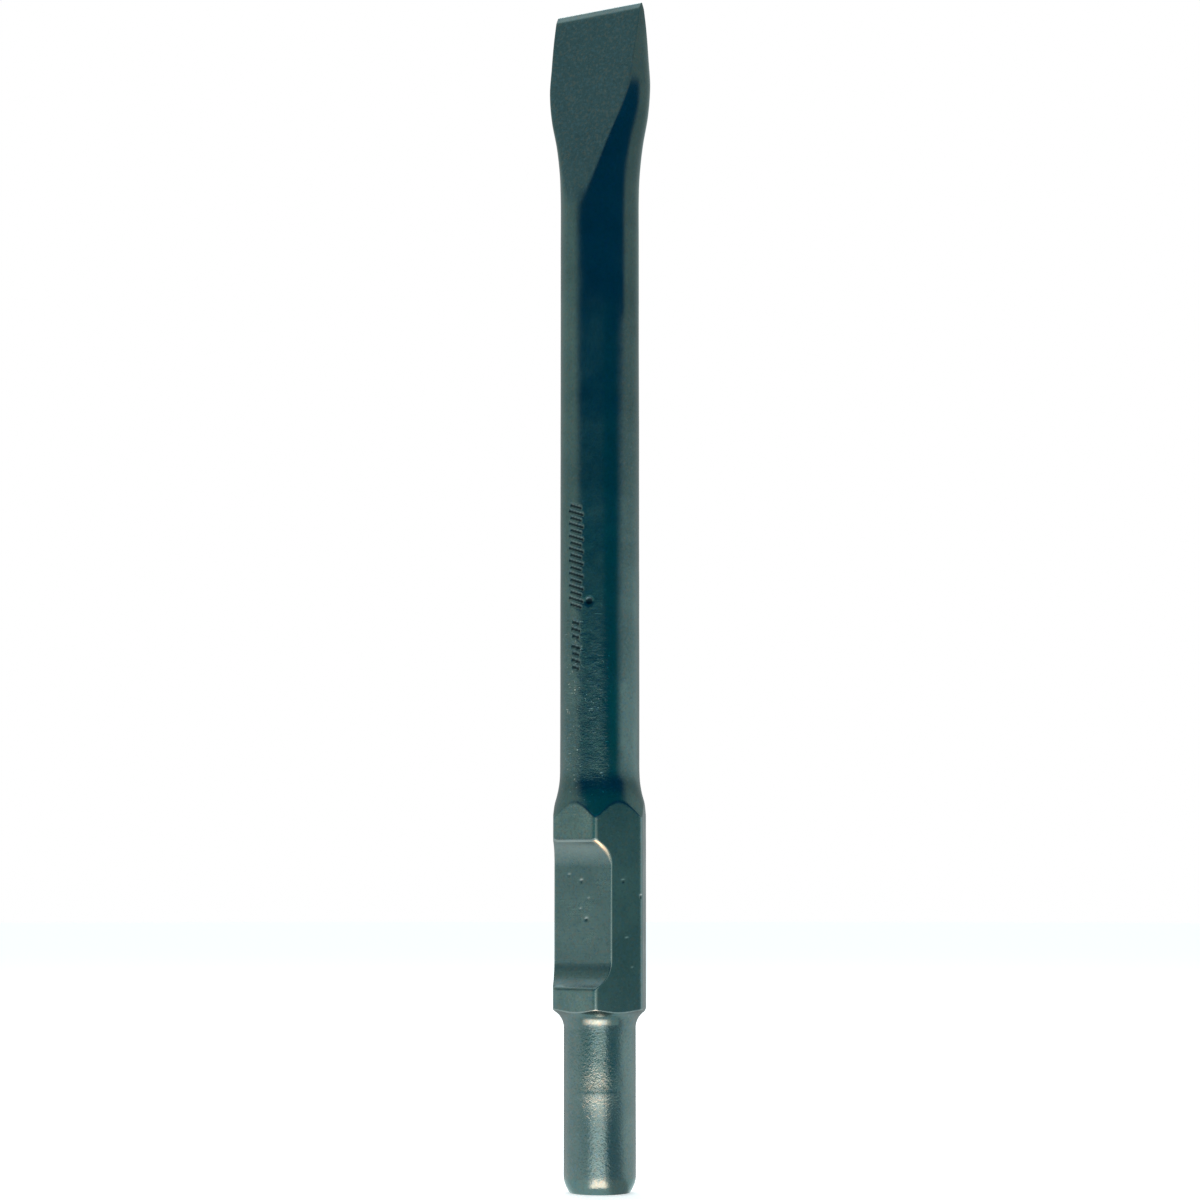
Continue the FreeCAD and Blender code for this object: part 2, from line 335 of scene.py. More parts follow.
def lumps(points, wave):
    """Smooth random heights at the points, from a wave's lump size, height and seed."""
    size, height, seed = wave
    shift = Vector(SEED_SHIFT) * seed
    values = [noise.noise(Vector(point) + shift) for point in points.reshape(-1, 3) / (size * MM)]
    return np.array(values).reshape(points.shape[:-1]) * height * MM


def nick_place(theta, z, radius, nick):
    """Distances across and along the skin from a nick's middle, as shares of its reach."""
    angle, height, reach, _ = nick
    across = radius * turn_from(theta, angle)
    return across / (reach * MM), (z - height * MM) / (reach * MM)


def nicks(theta, z, radius):
    """Depth of the nicks, and a painted highlight on their upper lips."""
    depth = np.zeros_like(radius)
    shine = np.zeros_like(radius)
    for nick in NICKS:
        across, along = nick_place(theta, z, radius, nick)
        bowl = (across / 1.1) ** 2 + (along + 0.45) ** 2
        # The lip term places a painted highlight on each nick's upper lip, above its bowl.
        lip = (across + 0.2) ** 2 + ((along - 0.55) / 0.5) ** 2
        depth += nick[3] * MM * np.exp(-1.6 * bowl ** 2)
        shine += 0.8 * np.exp(-lip)
    return depth, np.clip(shine, 0.0, 1.0)


def punch_mark(theta, z, radius):
    """Depth of the punch mark, a round bowl."""
    across, along = nick_place(theta, z, radius, PUNCH_MARK)
    return PUNCH_MARK[3] * MM * np.exp(-(across ** 2 + along ** 2) ** 2)


def stamped_strokes(theta, z, radius, s):
    """Depth of plain slanted strokes stamped into the shaft above the notch."""
    across = radius * turn_from(theta) + s.stroke_shift
    depth = np.zeros_like(radius)
    for low, high, pitch, half_length in STROKE_ROWS:
        for index in range(round((high - low) / pitch) + 1):
            middle = (low + index * pitch) * MM
            length = half_length * MM * (1.0 if index % 2 else SHORT_STROKE)
            line = z - middle + across * s.stroke_slant
            ends = smooth_step(length, length - 0.4 * MM, np.abs(across))
            depth += s.stroke_depth * np.exp(-(line / s.stroke_width) ** 2) * ends
    return depth


def displacement(points, theta, radius, masks, s):
    """How far the real surface stands off the drawn one, how deep its marks are, and where a highlight is
    painted on the nicks' upper lips.
    """
    z = points[..., 2]
    forged = 1.0 - 0.75 * np.maximum(masks["guided"], masks["milled"]) - 0.5 * masks["ground"]
    turned = smooth_step(s.spigot_top + 4 * MM, s.spigot_top, z)
    waves = (lumps(points, BROAD_WAVES) + lumps(points, SHORT_WAVES)) * forged * (1.0 - 0.6 * turned)
    waves = waves + lumps(points, GRIT_WAVES) * turned - lumps(points, SCUFF_WAVES) * scuffed(theta, z)
    nicked, shine = nicks(theta, z, radius)
    recess = nicked + punch_mark(theta, z, radius) + stamped_strokes(theta, z, radius, s)
    return waves - recess, recess, shine


def scuffed(theta, z):
    """1 on the front of the shaft above the hexagon, where handling has scuffed it, fading to 0."""
    from_notch = np.degrees(turn_from(theta))
    across = smooth_step(-40.0, -8.0, from_notch) * smooth_step(56.0, 42.0, from_notch)
    along = smooth_step(119.0, 141.0, z / MM) * smooth_step(206.0, 172.0, z / MM)
    return across * along


# The steel is worn bare where this is positive, and is darkened as painted shade where it is negative.
def edge_wear(points, normals):
    """Positive on outward edges and negative in hollows, from the bend of the grid."""
    around = np.roll(points, -1, axis=1) + np.roll(points, 1, axis=1) - 2 * points
    width = np.linalg.norm(np.roll(points, -1, axis=1) - np.roll(points, 1, axis=1), axis=2) / 2
    bend = -np.sum(around * normals, axis=2) / np.maximum(width, 0.05 * MM) ** 2
    along = np.zeros_like(points)
    along[1:-1] = points[2:] + points[:-2] - 2 * points[1:-1]
    height = np.gradient(points[..., 2], axis=0)
    bend += -np.sum(along * normals, axis=2) / np.maximum(height, 0.05 * MM) ** 2
    return bend * MM


def side_faces(rows, columns):
    """Quads of the side, between each row and the next."""
    row, column = np.meshgrid(np.arange(rows - 1), np.arange(columns), indexing="ij")
    following = (column + 1) % columns
    corners = [
        row * columns + column,
        row * columns + following,
        (row + 1) * columns + following,
        (row + 1) * columns + column,
    ]
    return np.stack(corners, axis=-1).reshape(-1, 4).tolist()


def edge_faces(rows, columns):
    """Faces of the cutting edge: each column is joined to its partner on the blade's other side."""
    top = (rows - 1) * columns
    quarter, half = columns // 4, columns // 2
    faces = []
    for column in range(-quarter, quarter):
        here, following = column % columns, (column + 1) % columns
        partner, partner_following = (half - column) % columns, (half - column - 1) % columns
        corners = [top + here, top + following, top + partner_following, top + partner]
        faces.append(list(dict.fromkeys(corners)))
    return faces


def striking_face(rim, first, rings):
    """Points and faces of the striking face: shrinking rings and a fan, slightly dished by blows."""
    columns = len(rim)
    layers, faces = [], []
    previous = list(range(columns))
    for ring in range(1, rings):
        share = 1.0 - ring / rings
        layer = rim * share
        layer[:, 2] = FACE_DISH * smooth_step(1.0, 0.75, share) * (1.0 - 0.3 * share)
        layers.append(layer)
        start = first + (ring - 1) * columns
        current = list(range(start, start + columns))
        for column in range(columns):
            following = (column + 1) % columns
            faces.append([previous[following], previous[column], current[column], current[following]])
        previous = current
    centre = first + (rings - 1) * columns
    layers.append(np.array([[0.0, 0.0, FACE_DISH]]))
    faces += [[previous[(column + 1) % columns], previous[column], centre] for column in range(columns)]
    return layers, faces


def store_masks(mesh, masks):
    """Keep each mask as an attribute of the mesh; it is 0 on the striking face."""
    for name, values in masks.items():
        filled = np.zeros(len(mesh.vertices), np.float32)
        filled[:values.size] = values.ravel()
        attribute = mesh.attributes.new(name, "FLOAT", "POINT")
        attribute.data.foreach_set("value", filled)


def build_mesh(s):
    """One closed mesh, with masks that say how each stretch was finished and where shade and highlights are
    painted.
    """
    z = row_heights()
    theta = spread_columns(z, s, s.columns)
    heights = np.repeat(z[:, None], s.columns, axis=1)
    radius, masks = section(theta, heights, s)
    points = np.stack([radius * np.cos(theta), radius * np.sin(theta), heights], axis=-1)
    normals = grid_normals(points)
    # Bend of the skin: bare metal on edges, and painted shade in hollows where it is negative.
    wear_and_shade = edge_wear(points, normals) * smooth_step(330 * MM, 180 * MM, heights)
    wear_and_shade = wear_and_shade * (1.0 - 0.8 * masks.pop("sheltered"))
    offset, recess, shine = displacement(points, theta, radius, masks, s)
    keep_ends = smooth_step(0.0, 1.0 * MM, heights) * smooth_step(HIGH.z, HIGH.z - 1.0 * MM, heights)
    points = points + normals * (offset * keep_ends)[..., None]

    rows = len(z)
    layers, faces = striking_face(points[0], rows * s.columns, s.face_rings)
    faces = side_faces(rows, s.columns) + edge_faces(rows, s.columns) + faces
    mesh = bpy.data.meshes.new("forging")
    mesh.from_pydata(np.concatenate([points.reshape(-1, 3), *layers]).tolist(), [], faces)
    store_masks(mesh, {
        "edge_wear": wear_and_shade,
        "turned": smooth_step(s.spigot_top + 3 * MM, s.spigot_top, heights),
        # Mask for the painted shade in the strokes, nicks and punch mark.
        "recess": smooth_step(0.05 * MM, 0.22 * MM, recess),
        "scuffed": scuffed(theta, heights),
        # Painted highlight on the nicks' upper lips.
        "shine": shine,
        **masks,
    })
    mesh.validate()
    mesh.shade_smooth()
    mesh.update()
    return mesh


# ---------------------------------------------------------------------------
# Steel
# ---------------------------------------------------------------------------

# Lumps per metre of the steel's patterns.
BLOTCHES = 55.0
DULL_PATCHES = 90.0
TOOL_MARKS = 160.0
SCALE_LUMPS = 260.0
SCRATCHES = 330.0
CHATTER = 480.0
BROWN_MOTTLE = 820.0
BRIGHT_SPECKS = 820.0
BLUE_MOTTLE = 910.0
BARE_SPECKS = 1100.0
DARK_MOTTLE = 1250.0
GRIT = 1250.0
FINE_GRAIN = 1500.0


class Nodes:
    """Short names for adding and joining shader nodes."""

    def __init__(self, tree):
        self.tree = tree
        tree.nodes.clear()

    def add(self, kind, settings=None, **inputs):
        """New node of this kind, with its settings and its inputs by name."""
        node = self.tree.nodes.new("ShaderNode" + kind)
        for name, value in (settings or {}).items():
            setattr(node, name, value)
        for name, value in inputs.items():
            self.feed(node, name.replace("_", " "), value)
        return node

    def feed(self, node, name, value):
        """Join a socket to an input, or set the input to a plain value."""
        target = node.inputs[int(name)] if name.isdigit() else node.inputs[name]
        if isinstance(value, bpy.types.NodeSocket):
            self.tree.links.new(value, target)
        else:
            target.default_value = value

    def math(self, operation, first, second=0.0):
        """Result of a sum on one or two numbers."""
        node = self.add("Math", {"operation": operation})
        self.feed(node, "0", first)
        self.feed(node, "1", second)
        return node.outputs[0]

    def times(self, first, second):
        """Product of two numbers."""
        return self.math("MULTIPLY", first, second)

    def plus(self, first, second):
        """Sum of two numbers."""
        return self.math("ADD", first, second)

    def remap(self, value, low, high, to_low=0.0, to_high=1.0):
        """Smooth turn from one level to another as the value passes from low to high."""
        node = self.add("MapRange", {"interpolation_type": "SMOOTHSTEP"}, Value=value)
        for name, number in (("From Min", low), ("From Max", high), ("To Min", to_low), ("To Max", to_high)):
            node.inputs[name].default_value = number
        return node.outputs["Result"]

    def mix(self, share, first, second):
        """The first colour where the share is 0 and the second where it is 1."""
        node = self.add("Mix", {"data_type": "RGBA"})
        self.feed(node, "0", share)
        self.feed(node, "6", first)
        self.feed(node, "7", second)
        return node.outputs[2]

    def along(self, vector, axis):
        """Length of the vector along an axis."""
        node = self.add("VectorMath", {"operation": "DOT_PRODUCT"})
        self.feed(node, "0", vector)
        self.feed(node, "1", axis)
        return node.outputs["Value"]

    def attribute(self, name):
        """Value of one of the mesh's masks."""
        return self.add("Attribute", {"attribute_name": name}).outputs["Fac"]

    def noise(self, place, scale, detail, roughness, distortion=0.0):
        """Smooth random values about 0.5."""
        node = self.add("TexNoise", Vector=place, Scale=scale, Detail=detail, Roughness=roughness,
                        Distortion=distortion)
        return node.outputs["Fac"]

    def stretched(self, place, scale, tilt=0.0):
        """The place with its height scaled, so that patterns run round the axis or along a tilt."""
        node = self.add("Mapping", Vector=place, Rotation=(0.0, tilt, 0.0), Scale=(1.0, 1.0, scale))
        return node.outputs["Vector"]


def opaque(colour):
    """The colour with full opacity, as the nodes take it."""
    return (*colour, 1.0)


def steel_colour(n, place, look):
    """Blotches of darker and lighter scale, with a fine brown and blue mottle."""
    blotches = n.remap(n.noise(place, BLOTCHES, 4.0, 0.6), 0.35, 0.68)
    colour = n.mix(blotches, opaque(look.dark_steel), opaque(look.light_steel))
    colour = n.mix(n.times(n.attribute("ground"), 0.85), colour, opaque(look.ground_steel))
    browns = n.remap(n.noise(place, BROWN_MOTTLE, 2.0, 0.6), 0.48, 0.68, 0.0, look.mottle)
    blues = n.remap(n.noise(place, BLUE_MOTTLE, 2.0, 0.6, 0.4), 0.48, 0.68, 0.0, look.mottle)
    darks = n.remap(n.noise(place, DARK_MOTTLE, 2.0, 0.6, 0.4), 0.50, 0.70, 0.0, 0.4 * look.mottle)
    colour = n.mix(browns, colour, opaque(look.brown_scale))
    colour = n.mix(blues, colour, opaque(look.blue_scale))
    return n.mix(darks, colour, opaque(look.soot_and_shade))


def wear_shade_and_highlights(n, place, colour, look):
    """Bare metal on edges, scuffs and specks; painted shade in hollows, pits and strokes; painted highlights
    on nick lips and the notch's upper corner; a painted sheen with polish at the notch's upper end.
    """
    edge = n.attribute("edge_wear")
    bare = opaque(look.bare_steel)
    speckle = n.remap(n.noise(place, BARE_SPECKS, 2.0, 0.5), 0.58, 0.74, 0.0, 0.14)
    colour = n.mix(speckle, colour, bare)
    colour = n.mix(n.remap(edge, 0.25, 1.1, 0.0, 0.55), colour, bare)
    colour = n.mix(n.times(n.attribute("turned"), 0.08), colour, bare)
    # Bright bare steel in scratches and nicks, and a painted highlight on the nicks' upper lips.
    colour = n.mix(bare_marks_and_lip_highlights(n, place), colour, opaque(look.bright_steel_and_highlight))
    # Lighter band at the notch's upper end: partly latch polish, partly a painted sheen.
    colour = n.mix(n.times(n.attribute("polished"), 0.22), colour, bare)
    # Worn steel on the notch's upper corner, tinted warm and bright as a painted highlight.
    colour = n.mix(n.attribute("rubbed"), colour, opaque(look.rubbed_corner_and_highlight))
    # Painted shade: darker in concave hollows.
    hollow = n.remap(n.times(edge, -1.0), 0.25, 1.5, 0.0, 0.6)
    colour = n.mix(hollow, colour, opaque(look.soot_and_shade))
    # Painted shade: near black in the strokes, nicks and punch mark.
    return n.mix(n.times(n.attribute("recess"), 0.85), colour, opaque(look.recess_shade))


def bare_marks_and_lip_highlights(n, place):
    """Sparse bright nicks and short scratches where the shaft has been scuffed, and a painted highlight on
    the upper lips of the listed nicks.
    """
    specks = n.remap(n.noise(place, BRIGHT_SPECKS, 1.0, 0.5, 0.9), 0.71, 0.77)
    tilted = n.stretched(place, 4.5, math.radians(20.0))
    scratches = n.remap(n.noise(tilted, SCRATCHES, 1.0, 0.5, 0.5), 0.73, 0.78)
    marks = n.times(n.math("MAXIMUM", specks, scratches), n.attribute("scuffed"))
    # The second term is a painted highlight on the nicks' upper lips.
    return n.math("MAXIMUM", n.times(marks, 0.8), n.times(n.attribute("shine"), 0.9))


def steel_roughness(n, place, look):
    """Satin all over, a little smoother where turned and duller on the wedge and in the notch."""
    patches = n.noise(place, DULL_PATCHES, 3.0, 0.6)
    rough = n.remap(patches, 0.3, 0.7, look.roughness - 0.04, look.roughness + 0.05)
    rough = n.plus(rough, n.times(n.noise(place, FINE_GRAIN, 3.0, 0.6), 0.06))
    rough = n.plus(rough, n.times(n.attribute("ground"), 0.05))
    rough = n.plus(rough, n.times(n.attribute("milled"), 0.12))
    return n.math("SUBTRACT", rough, n.times(n.attribute("turned"), 0.02))


def steel_grain(n, place, look):
    """Fine relief: scale all over, tool marks on the cut flats, grit on the turned end and scuffs."""
    lines = n.noise(n.stretched(place, 14.0), TOOL_MARKS, 3.0, 0.6)
    cut = n.plus(n.times(n.attribute("milled"), 0.9), n.times(n.attribute("guided"), 0.4))
    height = n.times(lines, cut)
    height = n.plus(height, n.times(n.noise(place, SCALE_LUMPS, 4.0, 0.65), 0.8))
    height = n.plus(height, n.times(n.noise(place, FINE_GRAIN, 3.0, 0.6), 0.35))
    grit = n.times(n.noise(place, GRIT, 2.0, 0.6, 0.3), n.attribute("turned"))
    height = n.plus(height, n.times(grit, look.grit_relief))
    chatter = n.noise(n.stretched(place, 2.2), CHATTER, 3.0, 0.65, 0.8)
    height = n.plus(height, n.times(n.times(chatter, n.attribute("scuffed")), look.scuff_relief))
    bump = n.add("Bump", Height=height, Strength=look.grain_strength, Distance=0.05 * MM)
    return bump.outputs["Normal"]


def steel_material(look):
    """Dark satin forged steel, with a grain for each way it was cut and worn, and with painted shade and
    highlights in its colour.
    """
    material = bpy.data.materials.new("dark_forged_steel")
    material.use_nodes = True
    n = Nodes(material.node_tree)
    place = n.add("TexCoord").outputs["Object"]
    surface = n.add("BsdfPrincipled", Normal=steel_grain(n, place, look))
    n.feed(surface, "Base Color", wear_shade_and_highlights(n, place, steel_colour(n, place, look), look))
    n.feed(surface, "Roughness", steel_roughness(n, place, look))
    surface.inputs["Metallic"].default_value = 1.0
    output = n.add("OutputMaterial")
    n.tree.links.new(surface.outputs["BSDF"], output.inputs["Surface"])
    return material


# ---------------------------------------------------------------------------
# Settings
# ---------------------------------------------------------------------------

def length_property(name, description, default, smallest=0.0):
    """A length in metres."""
    return FloatProperty(name=name, description=description, default=default, min=smallest,
                         precision=5, unit="LENGTH")


SHARPEST = 0.05 * MM


class ChiselSizes(bpy.types.PropertyGroup):
    """Sizes of the forging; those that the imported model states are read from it."""

    spigot_radius: length_property(
        "Spigot Radius", "Radius of the turned end", MOUNTS["spigot"]["dims"]["r_mm"] * MM)
    spigot_top: length_property("Spigot Top", "Height where the root hollow starts", 54.2 * MM)
    chamfer_rise: length_property("Chamfer Height", "End chamfer along the axis", 3.4 * MM)
    chamfer_inset: length_property("Chamfer Inset", "End chamfer across the axis", 1.9 * MM)
    root_fillet: length_property("Root Fillet", "Hollow between spigot and hexagon", 6.4 * MM)
    corner_radius: length_property(
        "Corner Radius", "Distance of the hexagon's corners from the axis", 17.1 * MM)
    neck_fillet: length_property("Neck Fillet", "Hollow between hexagon and shaft", 33.0 * MM)
    neck_blend: length_property(
        "Neck Blend", "Half the length over which the neck starts to widen", 4.0 * MM)
    neck_top: length_property("Neck Top", "Height where the neck meets the shaft", 139.5 * MM)
    shaft_radius: length_property("Shaft Radius", "Radius of the round shaft", 13.3 * MM)
    notch_floor: length_property(
        "Notch Floor", "Distance of the notch's floor from the axis", -MOUNTS["retention_notch"]["pos_m"][1])
    notch_middle: length_property(
        "Notch Middle", "Height of the middle of the notch", MOUNTS["retention_notch"]["pos_m"][2])
    notch_length: length_property("Notch Length", "Length of the notch at the flat", 48.5 * MM)
    notch_runout: length_property("Notch Run-out", "Radius of the notch's ends", 10.0 * MM)
    wedge_height: length_property("Wedge Height", "Length of the wedge faces", 68.0 * MM)
    bevel_height: length_property("Bevel Height", "Length of the ground bevels", 2.2 * MM)
    bevel_angle: FloatProperty(
        name="Bevel Angle", description="Slope of each bevel from the axis",
        default=math.radians(30.0), subtype="ANGLE", unit="ROTATION")
    edge_land: length_property("Edge Land", "Half thickness left at the cutting edge", 0.2 * MM)
    chamfer_softness: length_property(
        "Chamfer Softness", "Rounding above the end chamfer", 1.2 * MM, SHARPEST)
    corner_softness: length_property(
        "Corner Softness", "Rounding of the hexagon's corners", 0.6 * MM, SHARPEST)
    edge_softness: length_property("Edge Softness", "Rounding at the hexagon's ends", 0.22 * MM, SHARPEST)
    notch_softness: length_property("Notch Softness", "Rounding of the notch's edges", 0.5 * MM, SHARPEST)
    wedge_softness: length_property("Wedge Softness", "Rounding of the wedge's edges", 0.7 * MM, SHARPEST)
    edge_crowding: length_property("Edge Crowding", "Extra mesh length given to a full turn", 1.5 * MM)
    stroke_depth: length_property("Stroke Depth", "Depth of the stamped strokes", 0.40 * MM)
    stroke_width: length_property("Stroke Width", "Width of the stamped strokes", 0.45 * MM, SHARPEST)
    stroke_shift: length_property(
        "Stroke Shift", "Distance of the strokes from the notched side's middle", 0.6 * MM)
    stroke_slant: FloatProperty(name="Stroke Slant", description="Fall of a stroke per width", default=0.30)
    columns: IntProperty(name="Columns", description="Mesh columns round the axis", default=180, min=24)
    face_rings: IntProperty(name="Face Rings", description="Rings on the striking face", default=12, min=2)


def colour_property(name, description, default):
    """A colour of the steel."""
    return FloatVectorProperty(name=name, description=description, default=default, subtype="COLOR",
                               size=3, min=0.0, max=1.0)


def room_colour(name, description, default):
    """A colour that the room or a card gives off, which can be brighter than white."""
    return FloatVectorProperty(name=name, description=description, default=default, subtype="COLOR",
                               size=3, min=0.0, soft_max=8.0)


class SteelLook(bpy.types.PropertyGroup):
    """Colours and roughness of the steel."""

    dark_steel: colour_property("Dark Steel", "Colour of the darker scale", (0.088, 0.148, 0.145))
    light_steel: colour_property("Light Steel", "Colour of the lighter scale", (0.122, 0.190, 0.180))
    bare_steel: colour_property("Bare Steel", "Colour where the scale is rubbed off", (0.30, 0.36, 0.35))
    # Also the colour of the painted highlight on the nicks' upper lips.
    bright_steel_and_highlight: colour_property("Bright Steel", "Colour of fresh nicks", (0.62, 0.66, 0.62))
    # Worn steel colour, tinted warm and bright as a painted highlight.
    rubbed_corner_and_highlight: colour_property(
        "Rubbed Corner", "Colour of the notch's rubbed upper corner", (0.42, 0.37, 0.26))
    brown_scale: colour_property("Brown Scale", "Colour of the brown mottle", (0.150, 0.160, 0.140))
    blue_scale: colour_property("Blue Scale", "Colour of the blue mottle", (0.085, 0.165, 0.205))
    ground_steel: colour_property("Ground Steel", "Colour of the ground wedge", (0.057, 0.112, 0.129))
    # Also the colour of the painted shade in hollows.
    soot_and_shade: colour_property("Soot", "Colour of the darkest scale", (0.02, 0.035, 0.04))
    # Colour of the painted shade in the strokes, nicks and punch mark.
    recess_shade: colour_property("Grime", "Colour in the strokes and nicks", (0.005, 0.014, 0.02))
    mottle: FloatProperty(name="Mottle", description="Strength of the fine mottle", default=0.55,
                          min=0.0, max=1.0, subtype="FACTOR")
    roughness: FloatProperty(name="Roughness", description="Roughness of the steel", default=0.15,
                             min=0.0, max=1.0, subtype="FACTOR")
    grain_strength: FloatProperty(name="Grain Strength", description="Strength of the fine grain",
                                  default=0.55, min=0.0, max=1.0, subtype="FACTOR")
    grit_relief: FloatProperty(name="Grit Relief", description="Relief of the turned end's grit",
                               default=3.3, min=0.0)
    scuff_relief: FloatProperty(name="Scuff Relief", description="Relief of the shaft's scuffed front",
                                default=3.6, min=0.0)


class StudioSetup(bpy.types.PropertyGroup):
    """Camera place and light of the studio."""

    azimuth: FloatProperty(name="Camera Azimuth", description="Turn of the camera round the chisel",
                           default=math.radians(34.8), subtype="ANGLE", unit="ROTATION")
    distance: length_property("Camera Distance", "Distance of the camera from the axis", 1046.3 * MM)
    height: length_property("Camera Height", "Height of the camera above the floor", 104.7 * MM)
    tilt: FloatProperty(name="Camera Tilt", description="Upward tilt of the camera",
                        default=math.radians(5.05), subtype="ANGLE", unit="ROTATION")
    side_step: length_property("Camera Side Step", "Shift of the camera to its right", 0.07 * MM)
    focal_length: FloatProperty(name="Focal Length", description="Lens of the camera",
                                default=93.46, unit="CAMERA")
    floor_radius: length_property("Floor Radius", "Radius of the pale floor", 6.0)
    floor_glow: FloatProperty(name="Floor Glow", description="Light given off by the pale floor",
                              default=0.6, min=0.0)
    soft_box_power: FloatProperty(name="Soft Box Power", description="Power of the light overhead",
                                  default=12.0, min=0.0, unit="POWER")
    left_panel: room_colour("Left Panel", "Colour of the upper panel at the left", (0.48, 0.60, 0.58))
    right_panel: room_colour("Right Panel", "Colour of the upper panel at the right", (0.37, 0.45, 0.45))
    back_panel: room_colour("Back Panel", "Colour of the room behind the chisel", (0.35, 0.40, 0.40))
    skylight: room_colour("Skylight", "Colour high up at the left", (1.10, 1.15, 1.20))
    dim_end: room_colour("Dim End", "Colour of the room behind the camera", (0.0, 0.118, 0.25))
    low_end: room_colour("Low End", "Colour low down behind the camera", (0.0, 0.27, 0.33))
    high_end: room_colour("High End", "Colour high up behind the camera", (0.0, 0.22, 0.30))
    side_skyline: room_colour("Side Skyline", "Colour level with the table, sides", (0.85, 0.98, 1.00))
    left_skyline: room_colour("Left Skyline", "Colour level with the table, left", (1.10, 1.20, 1.12))
    front_skyline: room_colour("Front Skyline", "Colour level with the table, front", (0.50, 0.84, 0.78))
    flat_card: room_colour("Flat Card", "Colour of the card that faces the right flat", (0.27, 0.45, 0.46))
    side_ground: room_colour("Side Ground", "Colour of the table at the sides", (1.05, 1.10, 1.10))
    left_ground: room_colour("Left Ground", "Colour of the table, left", (0.85, 0.95, 0.97))
    right_ground: room_colour("Right Ground", "Colour of the table, right", (0.28, 0.42, 0.48))
    streak_glow: room_colour("Streak Glow", "Colour of the lit table in front", (2.35, 2.20, 2.15))
    far_glow: room_colour("Far Glow", "Colour of the lit table far in front", (1.45, 1.60, 1.60))
    foot_glow: room_colour("Foot Glow", "Colour of the lit table at the chisel's foot", (9.6, 6.0, 4.9))
    foot_shade: room_colour("Foot Shade", "Colour of the table right under the chisel", (0.9, 1.1, 1.1))


# ---------------------------------------------------------------------------
# Operators
# ---------------------------------------------------------------------------

class CHISEL_OT_forging(bpy.types.Operator):
    """Make the chisel: one closed mesh with its dark steel"""

    bl_idname = "chisel.forging"
    bl_label = "Build Chisel"

    def execute(self, context):
        mesh = build_mesh(context.scene.chisel_sizes)
        mesh.materials.append(steel_material(context.scene.steel_look))
        forging = bpy.data.objects.new("forged_chisel", mesh)
        context.scene.collection.objects.link(forging)
        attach(forging, BODY)
        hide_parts(NODE)
        return {"FINISHED"}


# Soft edges of the parts of the room that the steel reflects, in degrees: (outside, inside). A turn
# is 0 towards the camera and positive to its right; a rise is 0 at the horizon and positive upwards.
FAR_LEFT = (-120.0, -160.0)
FAR_RIGHT = (120.0, 160.0)
RIGHT_PANEL_TURN = (-10.0, 10.0)
PALER_RIGHT_RISE = (13.0, 22.0)
SKYLIGHT_TURN = (-84.0, -102.0)
SKYLIGHT_RISE = (36.0, 52.0)
DIM_LEFT = (-71.0, -41.0)
DIM_RIGHT = (63.0, 39.0)
DIM_TOP = (78.0, 60.0)
DIM_RISE = (3.0, 9.0)
HIGH_END_RISE = (20.0, 30.0)
FRONT_SKYLINE_TURN = (-66.0, -54.0)
LEFT_SIDE_TURN = (-80.0, -100.0)
LEFT_UPPER_RISE = (-2.0, 6.0)
RIGHT_SIDE_TURN = (46.0, 72.0)
RIGHT_UPPER_RISE = (2.0, 10.0)
RIGHT_LEVEL_TURN = (0.0, 20.0)
BENEATH_LEFT = (-110.0, -80.0)
BENEATH_RIGHT = (100.0, 70.0)
BENEATH_RISE = (-2.5, -5.0)

# The dim end spreads to both sides by these many degrees for each degree of rise up to the first
# limit, and above the second it draws in at the left.
SPREADS_UP_TO = 11.0
LEFT_SPREAD = 1.4
RIGHT_SPREAD = 2.2
DRAWS_IN_ABOVE = 16.0
DRAWS_IN_BY = 0.9


def room_directions(n, azimuth):
    """Turn and rise of the direction that is looked up, in degrees."""
    direction = n.add("TexCoord").outputs["Generated"]
    front = (math.sin(azimuth), -math.cos(azimuth), 0.0)
    right = (math.cos(azimuth), math.sin(azimuth), 0.0)
    turn = n.math("ARCTAN2", n.along(direction, right), n.along(direction, front))
    rise = n.math("ARCSINE", n.along(direction, (0.0, 0.0, 1.0)))
    return n.times(turn, math.degrees(1.0)), n.times(rise, math.degrees(1.0))


def dim_share(n, turn, rise):
    """1 in the dim end of the room and 0 beside it."""
    low_rise = n.math("MINIMUM", n.math("MAXIMUM", rise, 0.0), SPREADS_UP_TO)
    high_rise = n.math("MAXIMUM", n.math("SUBTRACT", rise, DRAWS_IN_ABOVE), 0.0)
    left = n.plus(turn, n.times(low_rise, LEFT_SPREAD))
    left = n.math("SUBTRACT", left, n.times(high_rise, DRAWS_IN_BY))
    right = n.math("SUBTRACT", turn, n.times(low_rise, RIGHT_SPREAD))
    share = n.times(n.remap(left, *DIM_LEFT), n.remap(right, *DIM_RIGHT))
    return n.times(share, n.remap(rise, *DIM_TOP))


def upper_room(n, turn, rise, far, studio):
    """Pale side panels with a skylight at the left, and the dim end between them."""
    right = n.mix(n.remap(rise, *PALER_RIGHT_RISE), opaque(studio.right_panel), opaque(studio.left_panel))
    panels = n.mix(n.remap(turn, *RIGHT_PANEL_TURN), opaque(studio.left_panel), right)
    skylight = n.times(n.remap(rise, *SKYLIGHT_RISE), n.remap(turn, *SKYLIGHT_TURN))
    panels = n.mix(skylight, n.mix(far, panels, opaque(studio.back_panel)), opaque(studio.skylight))
    end = n.mix(n.remap(rise, *DIM_RISE), opaque(studio.low_end), opaque(studio.dim_end))
    end = n.mix(n.remap(rise, *HIGH_END_RISE), end, opaque(studio.high_end))
    return n.mix(dim_share(n, turn, rise), panels, end)


